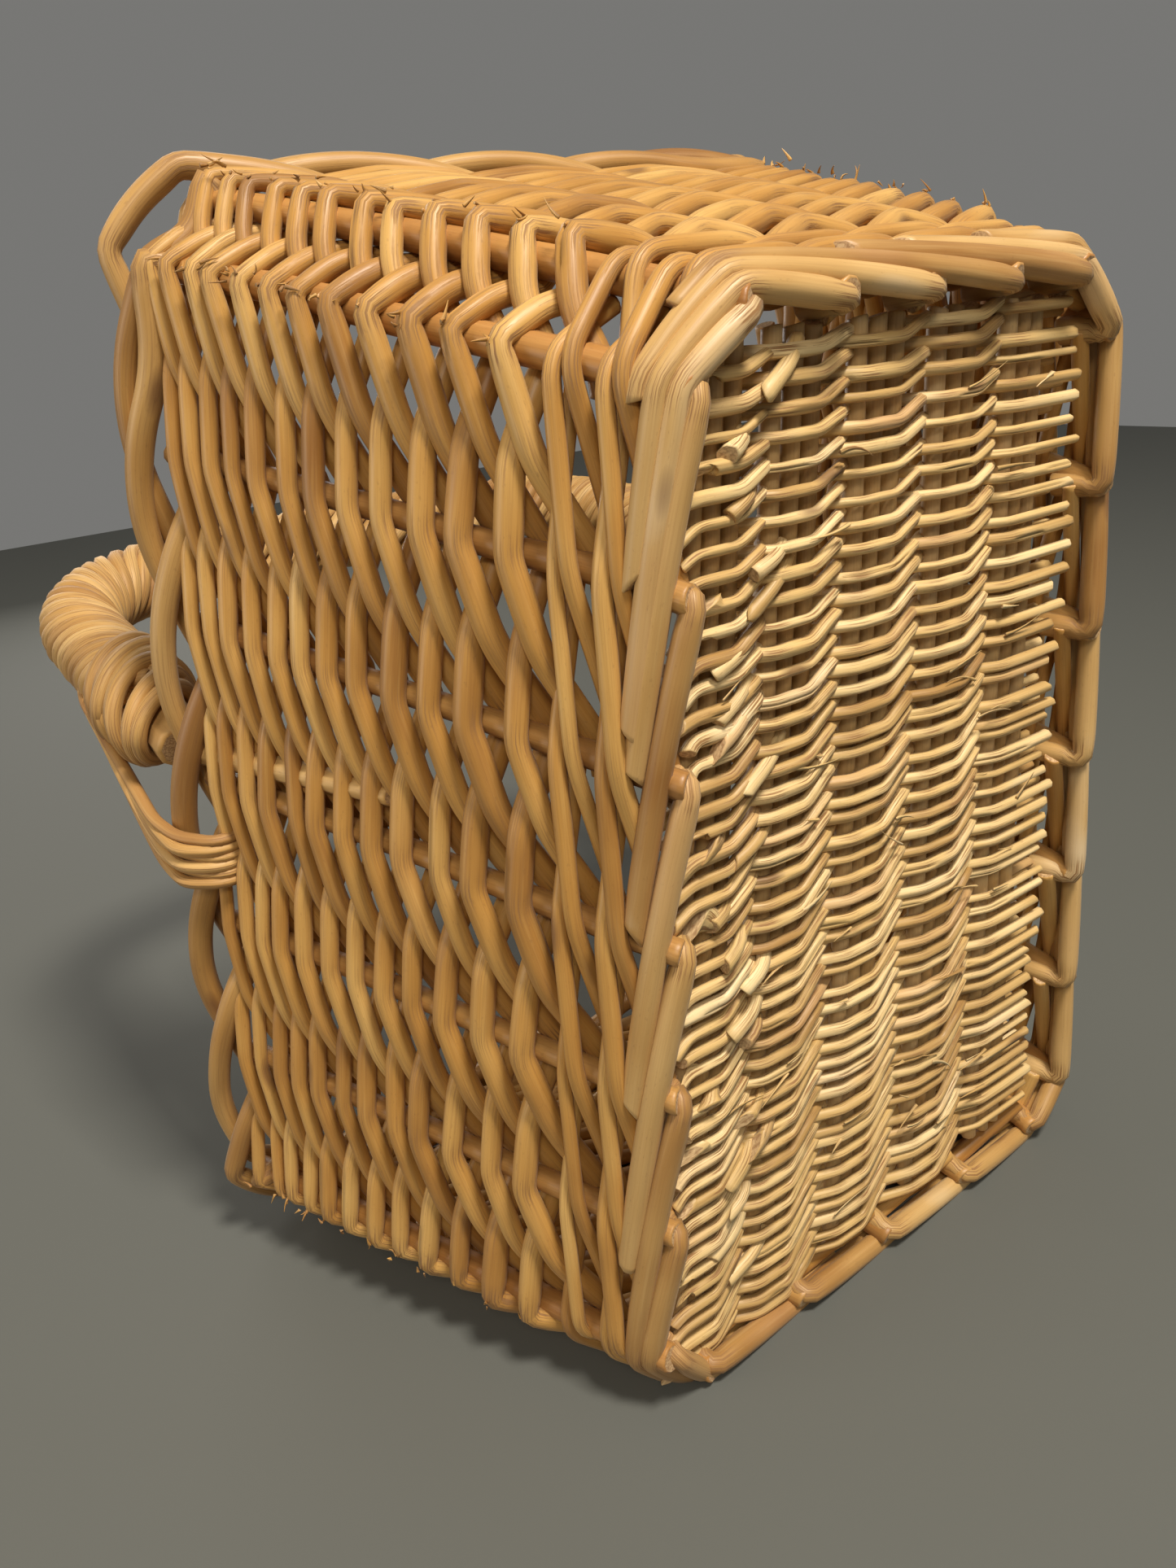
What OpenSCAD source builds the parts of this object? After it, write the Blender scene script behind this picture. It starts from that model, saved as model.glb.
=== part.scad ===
// Oblong willow laundry basket with one fixed, roped overhead handle.
// +Z is up, X runs along the long walls, and the front wall faces -Y.
// The origin is under the middle of the whole object, on the surface it stands on.

/* [Basket] */
// Length of the foot ring, between rod centres
base_length = 440; // [360:1:530]
// Width of the foot ring at its left end
base_width_left = 289; // [240:1:350]
// Width of the foot ring at its right end
base_width_right = 229; // [190:1:280]
// Length of the rim ring, between rod centres
rim_length = 487; // [400:1:590]
// Width of the rim ring at its left end
rim_width_left = 436; // [360:1:530]
// Width of the rim ring at its right end
rim_width_right = 358; // [295:1:430]
// Height from the foot rods to the top rim rods, between centres
wall_height = 244; // [200:1:300]
// How far the rim sits to the right of the foot ring
lean_right = 29; // [0:1:50]
// How far the rim sits in front of the foot ring
lean_front = 22; // [0:1:40]
// Length cut off each corner along both walls
corner_cut = 23; // [18:1:34]

/* [Stakes] */
// Stakes along each long wall, both corner posts included
long_stakes = 7; // [5:1:9]
// Stakes along each short wall, both corner posts included
short_stakes = 5; // [4:1:7]
// Diameter of a wall stake
stake_diameter = 10.6; // [8:0.1:12.8]
// Diameter of a corner post
post_diameter = 12; // [9:0.1:14.5]

/* [Weave] */
// Diameter of a wall weaver
weaver_diameter = 8.6; // [6:0.1:10.5]
// Courses of weavers on each face of the wall
course_count = 11; // [8:1:13]
// Gap between the wale rounds and the lowest wall course
low_gap = 10.2; // [2:0.1:20]
// Gap between the highest wall course and the handle's lashing
high_gap = 4.7; // [1:0.1:15]
// Diameter of a wale rod
wale_diameter = 8.6; // [6:0.1:10.5]
// Number of wale rounds just above the base
wale_rounds = 2; // [1:1:2]
// Height of the first wale round above the foot rods' centres
wale_start = 28; // [22:1:34]

/* [Base] */
// Bundles of sticks under the floor, front to back
bundle_count = 5; // [4:1:6]
// Sticks in each bundle
sticks_per_bundle = 3; // [2:1:3]
// Diameter of a base stick
stick_diameter = 8; // [6:0.1:9.6]
// Space between the sticks of a bundle
stick_gap = 1.2; // [0.5:0.1:2]
// Share of the base's half width where the front bundle lies
front_share = 0.82; // [0.6:0.01:0.86]
// Share of the base's half width where the back bundle lies
back_share = 0.66; // [0.5:0.01:0.86]
// Diameter of the fine weavers of the floor
floor_weaver_diameter = 4.6; // [3:0.1:6]

/* [Borders] */
// Diameter of a foot border rod
foot_diameter = 12; // [9:0.1:14.5]
// Height worn and trimmed off the underside of the foot rods
foot_flat = 0.6; // [0.3:0.1:1]
// Diameter of a rim border rod
rim_diameter = 12.6; // [9:0.1:15.2]

/* [Handle] */
// Rise of the bow's centre line above the top rim rods
handle_rise = 231; // [170:1:280]
// Tilt of the bow towards the right end, in degrees
handle_tilt = 9; // [0:0.5:14]
// Radius of the bow's two shoulders
shoulder_radius = 75; // [50:1:95]
// Radius of the bow's slightly crowned top
crown_radius = 900; // [600:10:1500]
// Diameter of the bow itself
bow_diameter = 22; // [16:0.1:26.5]
// Diameter of the part of the bow that is pushed down beside a stake
leg_diameter = 9.6; // [7:0.1:11.6]
// Depth of that part below the top rim rods
leg_depth = 120; // [80:1:150]
// Outside diameter over the roping
rope_diameter = 42; // [34:0.1:50.5]
// Height above the top rim rods at which the roping starts
rope_start = 27; // [26:1:40]
// Diameter of the rods that lash the handle to the rim
lash_diameter = 6; // [4:0.1:7.2]
// Number of roping ends tucked down inside each wall
tail_count = 5; // [3:1:6]
// Diameter of a roping end
tail_diameter = 5.4; // [4:0.1:6.5]

/* [Fit] */
// Space left between rods that only touch
fit_gap = 0.3; // [0.1:0.1:0.6]

/* [Hidden] */
$fn = 48;
BUNDLES = [for (i = [1:bundle_count]) str("base_sticks_", i)];
WALLS = ["front", "right", "back", "left"];
CORNERS = ["front_right", "back_right", "back_left", "front_left"];
WALL_NODES = [for (w = WALLS) for (p = ["_stakes", "_weave", "_wale", "_foot_rods", "_rim_rods"]) str(w, p)];
CORNER_NODES = [for (c = CORNERS)
    for (p = ["_posts", "_corner_weave", "_corner_wale", "_corner_foot_rod", "_corner_rim_rods"]) str(c, p)];
HANDLE_NODES = ["handle_bow", "handle_roping", "front_handle_lashing", "back_handle_lashing",
    "front_handle_tails", "back_handle_tails"];

stake_total = 2 * (long_stakes + short_stakes);
foot_r = foot_diameter / 2;
rim_r = rim_diameter / 2;
stake_r = stake_diameter / 2;
post_r = post_diameter / 2;
thick_r = max(stake_r, post_r);
half_corner = 22.5;
below = 100;
// How much thinner each stretch of the bow is than the last, and how far it reaches in, in degrees
joint_step = 0.1;
joint_lap = 1;

// The right end of the rim and the left end of the foot set the length of the whole object.
rim_side = thick_r + rim_diameter + fit_gap;
right_reach = rim_length / 2 + lean_right + rim_side;
left_reach = max(base_length / 2 + foot_r, rim_length / 2 - lean_right + rim_side);
base_x = (left_reach - right_reach) / 2;
base_y = lean_front;
foot_z = foot_r - foot_flat;
rim_z = foot_z + wall_height;

// A ring is [length, left width, right width, centre x, centre y, z].
base_ring = [base_length, base_width_left, base_width_right, base_x, base_y, foot_z];
rim_ring = [rim_length, rim_width_left, rim_width_right, base_x + lean_right, 0, rim_z];

function lerp(a, b, t) = a + (b - a) * t;
function unit(v) = v / norm(v);
function half_width(ring, x) = lerp(ring[1], ring[2], x / ring[0] + 0.5) / 2;
function long_point(ring, u, side) =
    let (x = u * (ring[0] / 2 - corner_cut))
    [ring[3] + x, ring[4] + side * half_width(ring, x), ring[5]];
function short_point(ring, v, side) =
    let (x = side * ring[0] / 2)
    [ring[3] + x, ring[4] + v * (half_width(ring, x) - corner_cut), ring[5]];

// Stakes are numbered round the ring from the left end of the front wall.
first_right = long_stakes;
first_back = long_stakes + short_stakes;
first_left = 2 * long_stakes + short_stakes;
function step(k, first, count) = 2 * (k - first) / (count - 1) - 1;
function ring_point(ring, number) =
    let (k = (number + stake_total) % stake_total)
    k < first_right ? long_point(ring, step(k, 0, long_stakes), -1) :
    k < first_back ? short_point(ring, step(k, first_right, short_stakes), 1) :
    k < first_left ? long_point(ring, -step(k, first_back, long_stakes), 1) :
    short_point(ring, -step(k, first_left, short_stakes), -1);
function stake_at(k, z) = lerp(ring_point(base_ring, k), ring_point(rim_ring, k), (z - foot_z) / wall_height);

// Unit vector that points out of the wall between two neighbouring stakes.
function outward(i, j) =
    unit(cross(stake_at(j, rim_z) - stake_at(i, rim_z), stake_at(i, rim_z) - stake_at(i, foot_z)));

module rod(p, q, r) {
    v = q - p;
    length = norm(v);
    translate(p)
        rotate([0, acos(v.z / length), atan2(v.y, v.x)])
            cylinder(h = length, r = r);
}

// A rod laid across stakes i to j at height z, out = 1 outside them and -1 inside.
// It stops short by trim at each end.
module course(i, j, z, r, out, trim) {
    away = outward(i, j) * out * (thick_r + r + fit_gap);
    along = unit(stake_at(j, z) - stake_at(i, z));
    rod(stake_at(i, z) + away + along * trim, stake_at(j, z) + away - along * trim, r);
}

// Inside a corner two courses meet, so each stops where their edges would cross.
function inside_trim(r) = (thick_r + 2 * r + fit_gap) * tan(half_corner) + fit_gap;

module weave_courses(i, j) {
    r = weaver_diameter / 2;
    wale_top = foot_z + wale_start + (wale_rounds - 1) * (wale_diameter + 2 * fit_gap) + wale_diameter / 2;
    low = wale_top + low_gap + r;
    high = lash_bottom - high_gap - r;
    for (n = [0:course_count - 1]) {
        z = lerp(low, high, n / (course_count - 1));
        course(i, j, z, r, 1, fit_gap);
        course(i, j, z, r, -1, inside_trim(r));
    }
}

module wale_courses(i, j) {
    r = wale_diameter / 2;
    for (n = [0:wale_rounds - 1])
        course(i, j, foot_z + wale_start + n * (wale_diameter + 2 * fit_gap), r, 1, fit_gap);
}

module stakes(first, last, r) {
    for (k = [first:last])
        rod(stake_at(k, foot_z + foot_r + fit_gap), stake_at(k, rim_z - rim_r - 2 * fit_gap), r);
}

// Rods that follow a ring from stake to stake, each ending just clear of the next.
module ring_rods(ring, first, last, r) {
    trim = r * tan(half_corner) + fit_gap;
    for (k = [first:last]) {
        p = ring_point(ring, k);
        q = ring_point(ring, k + 1);
        rod(p + unit(q - p) * trim, q - unit(q - p) * trim, r);
    }
}

module foot_rods(first, last) {
    color([0.86, 0.70, 0.44])
        difference() {
            ring_rods(base_ring, first, last, foot_r);
            translate([-base_length, -base_length, -below])
                cube([2 * base_length, 2 * base_length, below]);
        }
}

// The rim has top rods over the stakes' ends, and one rod outside and one inside them.
module rim_rods(first, last) {
    side_z = rim_z - rim_r - fit_gap;
    color([0.74, 0.52, 0.24]) {
        difference() {
            ring_rods(rim_ring, first, last, rim_r);
            leg_holes();
        }
        for (k = [first:last]) {
            course(k, k + 1, side_z, rim_r, 1, fit_gap);
            course(k, k + 1, side_z, rim_r, -1, inside_trim(rim_r));
        }
    }
}

// Base.
stick_r = stick_diameter / 2;
floor_thickness = stick_diameter + 2 * floor_weaver_diameter;
floor_z = foot_z + foot_r + fit_gap + floor_thickness / 2;
floor_inset = thick_r + 3 * fit_gap;

// The line of the share v of the half width, from the left end of the floor to the right.
function floor_point(v, side, inset) =
    let (x = side * (base_length / 2 - inset))
    [base_x + x, base_y + v * (half_width(base_ring, x) - inset), floor_z];

module bundle(i, r) {
    v = lerp(-front_share, back_share, (i - 1) / (bundle_count - 1));
    pitch = stick_diameter + stick_gap;
    for (n = [0:sticks_per_bundle - 1]) {
        shift = [0, (n - (sticks_per_bundle - 1) / 2) * pitch, 0];
        rod(floor_point(v, -1, floor_inset) + shift, floor_point(v, 1, floor_inset) + shift, r);
    }
}

module base_sticks(i) {
    color([0.88, 0.74, 0.48])
        bundle(i, stick_r);
}

module base_weave() {
    left = floor_point(1, -1, floor_inset);
    right = floor_point(1, 1, floor_inset);
    half_left = left.y - base_y;
    half_right = right.y - base_y;
    cut = corner_cut;
    outline = [[left.x, half_left - cut], [left.x + cut, half_left], [right.x - cut, half_right],
        [right.x, half_right - cut], [right.x, cut - half_right], [right.x - cut, -half_right],
        [left.x + cut, -half_left], [left.x, cut - half_left]];
    color([0.90, 0.78, 0.54])
        difference() {
            translate([0, base_y, floor_z - floor_thickness / 2])
                linear_extrude(floor_thickness)
                    polygon(outline);
            for (i = [1:bundle_count])
                bundle(i, stick_r + fit_gap / 2);
        }
}

// Handle. Its path is drawn in a plane: spread away from the middle, and rise above the rim.
middle_front = floor((long_stakes - 1) / 2);
// The leg stands beside the middle stake.
leg_offset = stake_r + leg_diameter / 2 + 3 * fit_gap;
leg_x = ring_point(rim_ring, middle_front).x + leg_offset;
half_span = half_width(rim_ring, leg_x - rim_ring[3]);
crown_angle = asin((half_span - shoulder_radius) / (crown_radius - shoulder_radius));
crown_drop = crown_radius - (crown_radius - shoulder_radius) * cos(crown_angle);
spring_rise = handle_rise - crown_drop;
// The legs continue the slope of the long walls below the rim.
front_foot = stake_at(middle_front, rim_z - leg_depth);
back_foot = stake_at(first_back + middle_front, rim_z - leg_depth);

module handle_frame() {
    translate([leg_x, 0, rim_z])
        rotate([0, handle_tilt, 0])
            children();
}

// The arc has its centre at [y, z] in the handle's plane and runs from angle a by sweep.
module bent(y, z, radius, a, sweep, r) {
    translate([0, y, z])
        rotate([90, 0, 90])
            rotate([0, 0, a])
                rotate_extrude(angle = sweep)
                    translate([radius, 0])
                        circle(r);
}

// Each stretch is a hair thinner than the one below it and reaches a little way into it.
module bow_path(r, start) {
    for (side = [-1, 1])
        rod([0, side * half_span, start], [0, side * half_span, spring_rise], r);
    shoulder_y = half_span - shoulder_radius;
    sweep = 90 - crown_angle;
    shoulder_r = r - joint_step;
    bent(shoulder_y, spring_rise, shoulder_radius, -joint_lap, sweep + joint_lap, shoulder_r);
    bent(-shoulder_y, spring_rise, shoulder_radius, 180 - sweep, sweep + joint_lap, shoulder_r);
    crown_lap = joint_lap * shoulder_radius / crown_radius;
    bent(0, handle_rise - crown_radius, crown_radius, sweep - crown_lap,
        2 * (crown_angle + crown_lap), r - 2 * joint_step);
}

module leg(side, foot, r) {
    rod([leg_x, foot.y, foot.z], [leg_x, side * half_span, rim_z], r);
    translate([leg_x, side * half_span, rim_z])
        sphere(r + joint_step);
    translate([leg_x, side * half_span, rim_z])
        rotate([0, handle_tilt, 0])
            cylinder(h = rope_start, r = r);
}

module legs(r) {
    leg(-1, front_foot, r);
    leg(1, back_foot, r);
}

// Each leg goes down through the top rim rod, which is parted there.
module leg_holes() {
    legs(rim_r + fit_gap);
}

module handle_bow() {
    color([0.70, 0.46, 0.20]) {
        legs(leg_diameter / 2);
        handle_frame()
            bow_path(bow_diameter / 2, rim_r + 2 * fit_gap);
    }
}

module handle_roping() {
    color([0.80, 0.60, 0.30])
        difference() {
            handle_frame()
                bow_path(rope_diameter / 2, rope_start);
            handle_frame()
                bow_path(bow_diameter / 2 + fit_gap, rope_start - bow_diameter);
        }
}

// Rings round all the rim rods beside each leg, clear of the stake and of the bow.
lash_r = lash_diameter / 2;
lash_ring = norm([thick_r + rim_r + fit_gap, rim_r]) + rim_r + lash_r + fit_gap;
lash_bottom = rim_z - rim_r - lash_ring - lash_r;
left_lash = leg_offset + stake_r + lash_r + 2 * fit_gap;
right_lash = bow_diameter / 2 + lash_r + 4 * fit_gap;
lash_places = [-left_lash - lash_diameter - fit_gap, -left_lash, right_lash,
    right_lash + lash_diameter + fit_gap];

module lashing(side) {
    color([0.78, 0.57, 0.28])
        for (x = lash_places)
            translate([leg_x + x, side * half_width(rim_ring, leg_x + x - rim_ring[3]), rim_z - rim_r])
                rotate([0, 90, 0])
                    rotate_extrude()
                        translate([lash_ring, 0])
                            circle(lash_r);
}

module front_handle_lashing() {
    lashing(-1);
}

module back_handle_lashing() {
    lashing(1);
}

// The roping rods' ends lie side by side against the inside of the wall, below the lashing.
module tails(i, j) {
    r = tail_diameter / 2;
    top = lash_bottom - 2 * fit_gap;
    depth = -outward(i, j) * (thick_r + weaver_diameter + 3 * fit_gap + r);
    along = unit(stake_at(j, top) - stake_at(i, top));
    start = along * (leg_x - stake_at(i, top).x) / along.x;
    color([0.76, 0.54, 0.26])
        for (n = [0:tail_count - 1]) {
            shift = depth + start + along * (n * (tail_diameter + fit_gap));
            rod(stake_at(i, rim_z - leg_depth) + shift, stake_at(i, top) + shift, r);
        }
}

module front_handle_tails() {
    tails(middle_front, middle_front + 1);
}

module back_handle_tails() {
    tails(first_back + middle_front, first_back + middle_front + 1);
}

// A wall runs from its first stake to its last, and a corner from one wall's last to the next's first.
module wall_stakes(first, last) {
    color([0.72, 0.48, 0.20])
        stakes(first + 1, last - 1, stake_r);
}

module corner_posts(last) {
    color([0.70, 0.44, 0.16])
        stakes(last, last + 1, post_r);
}

module weave(i, j) {
    color([0.80, 0.61, 0.33])
        weave_courses(i, j);
}

module wale(i, j) {
    color([0.84, 0.66, 0.38])
        wale_courses(i, j);
}

first_stakes = [0, first_right, first_back, first_left];
last_stakes = [first_right - 1, first_back - 1, first_left - 1, stake_total - 1];

for (i = [1:bundle_count])
    base_sticks(i);
base_weave();
for (w = [0:3]) {
    i = first_stakes[w];
    j = last_stakes[w];
    wall = WALLS[w];
    corner = CORNERS[w];
    wall_stakes(i, j);
    weave(i, j);
    wale(i, j);
    foot_rods(i, j - 1);
    rim_rods(i, j - 1);
    corner_posts(j);
    weave(j, j + 1);
    wale(j, j + 1);
    foot_rods(j, j);
    rim_rods(j, j);
}
handle_bow();
handle_roping();
front_handle_lashing();
back_handle_lashing();
front_handle_tails();
back_handle_tails();
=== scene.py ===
import math

import bpy
import numpy as np
from mathutils import Matrix, Vector


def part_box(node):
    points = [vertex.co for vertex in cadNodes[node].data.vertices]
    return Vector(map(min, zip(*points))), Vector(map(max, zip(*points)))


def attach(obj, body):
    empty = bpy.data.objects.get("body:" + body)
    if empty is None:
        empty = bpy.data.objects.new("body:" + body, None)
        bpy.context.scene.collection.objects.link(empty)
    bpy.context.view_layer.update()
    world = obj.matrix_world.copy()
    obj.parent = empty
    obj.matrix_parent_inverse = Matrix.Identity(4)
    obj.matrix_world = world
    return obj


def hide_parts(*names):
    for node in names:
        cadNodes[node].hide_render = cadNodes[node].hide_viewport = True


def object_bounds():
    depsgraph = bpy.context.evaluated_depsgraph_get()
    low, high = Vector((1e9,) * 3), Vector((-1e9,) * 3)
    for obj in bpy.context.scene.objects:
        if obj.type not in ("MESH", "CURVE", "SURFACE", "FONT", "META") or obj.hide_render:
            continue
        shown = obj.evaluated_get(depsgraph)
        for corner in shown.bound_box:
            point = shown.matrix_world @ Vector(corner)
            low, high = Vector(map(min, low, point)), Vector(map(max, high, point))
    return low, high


# An oblong willow basket with French randed walls, bent borders and a roped overhead handle.
# Metres throughout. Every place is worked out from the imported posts, rods, sticks and bow.
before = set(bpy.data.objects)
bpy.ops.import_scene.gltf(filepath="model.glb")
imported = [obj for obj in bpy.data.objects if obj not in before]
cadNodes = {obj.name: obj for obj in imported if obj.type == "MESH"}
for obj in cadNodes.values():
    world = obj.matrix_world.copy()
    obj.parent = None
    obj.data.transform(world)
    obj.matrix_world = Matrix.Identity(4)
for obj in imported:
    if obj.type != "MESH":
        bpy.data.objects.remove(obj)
cadBounds = [list(corner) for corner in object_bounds()]
rng = np.random.default_rng(11)
mm = 0.001

# stakes are numbered round the ring from the front wall's wide end; both ends of a wall are corner posts
walls = ["front", "right", "back", "left"]
corners = ["front_right", "back_right", "back_left", "front_left"]
firstStakes = [0, 7, 12, 19]
lastStakes = [6, 11, 18, 23]
postNumbers = firstStakes + lastStakes
stakeTotal = 24


def nodePoints(name):
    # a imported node's vertices, one row each
    mesh = cadNodes[name].data
    points = np.zeros(len(mesh.vertices) * 3)
    mesh.vertices.foreach_get("co", points)
    return points.reshape(-1, 3)


def boxOf(name):
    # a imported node's lowest and highest corner
    low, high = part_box(name)
    return np.array(low), np.array(high)


def unit(vectors):
    # each vector divided by its own length
    return vectors / np.maximum(np.linalg.norm(vectors, axis=-1, keepdims=True), 1e-9)


def postPair(name):
    # centres of both posts' low and high ends, in order round the ring:
    # each end's points are parted across their longest level direction
    points = nodePoints(name)
    middle = points[:, 2].mean()
    ends = []
    for part in (points[points[:, 2] < middle], points[points[:, 2] > middle]):
        centre = part.mean(axis=0)
        axis = np.linalg.svd((part - centre)[:, :2], full_matrices=False)[2][0]
        share = (part - centre)[:, :2] @ axis
        pair = [part[share < 0].mean(axis=0), part[share > 0].mean(axis=0)]
        pair.sort(key=lambda p: math.atan2(p[1], p[0]) % (2 * math.pi))
        ends.append(pair)
    return ends


packedFootRadius = 6.0 * mm
packedRimRadius = 6.3 * mm
footZ = boxOf("front_foot_rods")[1][2] - packedFootRadius
rimZ = boxOf("front_rim_rods")[1][2] - packedRimRadius
wallHeight = rimZ - footZ

lowPosts = {}
highPosts = {}
for place, name in enumerate(corners):
    (lowA, lowB), (highA, highB) = postPair(name + "_posts")
    last = lastStakes[place]
    for number, low, high in ((last, lowA, highA), ((last + 1) % stakeTotal, lowB, highB)):
        slope = (high - low) / (high[2] - low[2])
        lowPosts[number] = low + slope * (footZ - low[2])
        highPosts[number] = low + slope * (rimZ - low[2])


def stakeLine(posts):
    # stakes of one wall stand at equal steps on the line between its two corner posts
    line = np.zeros((stakeTotal, 3))
    for first, last in zip(firstStakes, lastStakes):
        steps = np.linspace(0, 1, last - first + 1)[:, None]
        line[first:last + 1] = posts[first] * (1 - steps) + posts[last] * steps
    return line


lowLine = stakeLine(lowPosts)
highLine = stakeLine(highPosts)
baseCentre = np.array([*(sum(lowPosts.values()) / len(postNumbers))[:2], footZ])
leftX, rightX = lowLine[:, 0].min(), lowLine[:, 0].max()
baseLength = rightX - leftX


def stakeAt(number, z):
    # point on a stake's axis at height z, where number may lie between two whole stakes
    number = np.asarray(number, float)
    whole = np.floor(number).astype(int)
    part = (number - whole)[..., None]
    rise = ((np.asarray(z, float) - footZ) / wallHeight)[..., None]
    low = lowLine[whole % stakeTotal] * (1 - part) + lowLine[(whole + 1) % stakeTotal] * part
    high = highLine[whole % stakeTotal] * (1 - part) + highLine[(whole + 1) % stakeTotal] * part
    return low + (high - low) * rise


def outwardAt(number):
    # level unit vector out of the wall: the way along the wall turned by a quarter,
    # where the way along the wall runs from a third of a step before to a third of a step after
    number = np.asarray(number, float)
    third = 0.35
    middle = np.full(number.shape, rimZ - wallHeight / 2)
    ahead = unit(stakeAt(number + third, middle) - stakeAt(number - third, middle))
    return np.stack([ahead[..., 1], -ahead[..., 0], np.zeros(number.shape)], axis=-1)


def wallPoints(numbers, depths, heights):
    # points beside the stakes: stake axis at that height plus depth times the outward direction
    numbers = np.asarray(numbers, float)
    return stakeAt(numbers, heights) + outwardAt(numbers) * np.asarray(depths, float)[..., None]


def nearPost(numbers):
    # whether each stake number is a corner post's own
    return np.isin(np.round(numbers, 3) % stakeTotal, postNumbers)


print("frame measured", round(baseLength, 4), round(footZ, 4), round(rimZ, 4))


rodSizes = {
    "sides": 12, "step": 3.2 * mm, "bendPoints": 9,
    # waves along the rod are 2 pi times as long as these: two of its radius, two of its section's shape
    "slowLump": 43 * mm, "quickLump": 17 * mm, "ovalTwist": 60 * mm, "triangleTwist": 25 * mm,
    "endShare": 0.86,  # radius of the end rings
    "crackHalfWidth": 0.17, "crackFade": 6 * mm,
    "slantDepth": 2.2, "bendRadius": 12 * mm}


def bent(points, reach):
    # each inner corner P becomes (1-t)^2 A + 2 t (1-t) P + t^2 B,
    # where A and B lie up to reach before and after P, and within its half of the stretch
    points = np.asarray(points, float)
    corner = points[1:-1]
    toA = points[:-2] - corner
    toB = points[2:] - corner
    lengthA = np.linalg.norm(toA, axis=1, keepdims=True)
    lengthB = np.linalg.norm(toB, axis=1, keepdims=True)
    reach = np.broadcast_to(np.asarray(reach, float).reshape(-1, 1), lengthA.shape)
    a = corner + toA / lengthA * np.minimum(reach, lengthA * 0.48)
    b = corner + toB / lengthB * np.minimum(reach, lengthB * 0.48)
    t = np.linspace(0, 1, rodSizes["bendPoints"])[None, :, None]
    curve = (1 - t) ** 2 * a[:, None] + 2 * t * (1 - t) * corner[:, None] + t ** 2 * b[:, None]
    return np.concatenate([points[:1], curve.reshape(-1, 3), points[-1:]])


def lengthAlong(points):
    # length walked from the first point to each point
    return np.concatenate([[0], np.cumsum(np.linalg.norm(np.diff(points, axis=0), axis=1))])


def evenly(points, step):
    # points at equal steps along a line of points, with one more very near each end, and the length at each
    along = lengthAlong(points)
    count = max(int(along[-1] / step), 3)
    where = np.linspace(0, along[-1], count + 1)
    nearEnd = min(0.5 * mm, where[1] * 0.3)
    where = np.concatenate([[0, nearEnd], where[1:-1], [along[-1] - nearEnd, along[-1]]])
    return np.stack([np.interp(where, along, points[:, axis]) for axis in range(3)], axis=1), where


def smooth(values, passes):
    # each value becomes a quarter of both neighbours and half of itself, passes times
    for _ in range(passes):
        padded = np.concatenate([values[:1], values, values[-1:]])
        values = (padded[:-2] + 2 * values + padded[2:]) / 4
    return values


def referenceAlong(reference, along):
    # one direction for the whole rod, or a list of directions spread evenly along it
    reference = np.asarray(reference, float)
    if reference.ndim == 1:
        return np.broadcast_to(reference, (len(along), 3))
    places = np.linspace(0, along[-1], len(reference))
    return np.stack([np.interp(along, places, reference[:, axis]) for axis in range(3)], axis=1)


def tubeFaces(count, sides):
    # quads from each ring to the next, and at both ends a fan of triangles round the end's middle
    ring = np.arange(count - 1)[:, None] * sides
    side = np.arange(sides)
    beside = (side + 1) % sides
    quads = np.stack([ring + side, ring + beside, ring + beside + sides, ring + side + sides], axis=-1)
    startMiddle = count * sides
    tail = (count - 1) * sides
    startFan = np.stack([beside, side, np.full(sides, startMiddle)], axis=1)
    endFan = np.stack([tail + side, tail + beside, np.full(sides, startMiddle + 1)], axis=1)
    return quads.reshape(-1, 4), np.concatenate([startFan, endFan])


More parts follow.
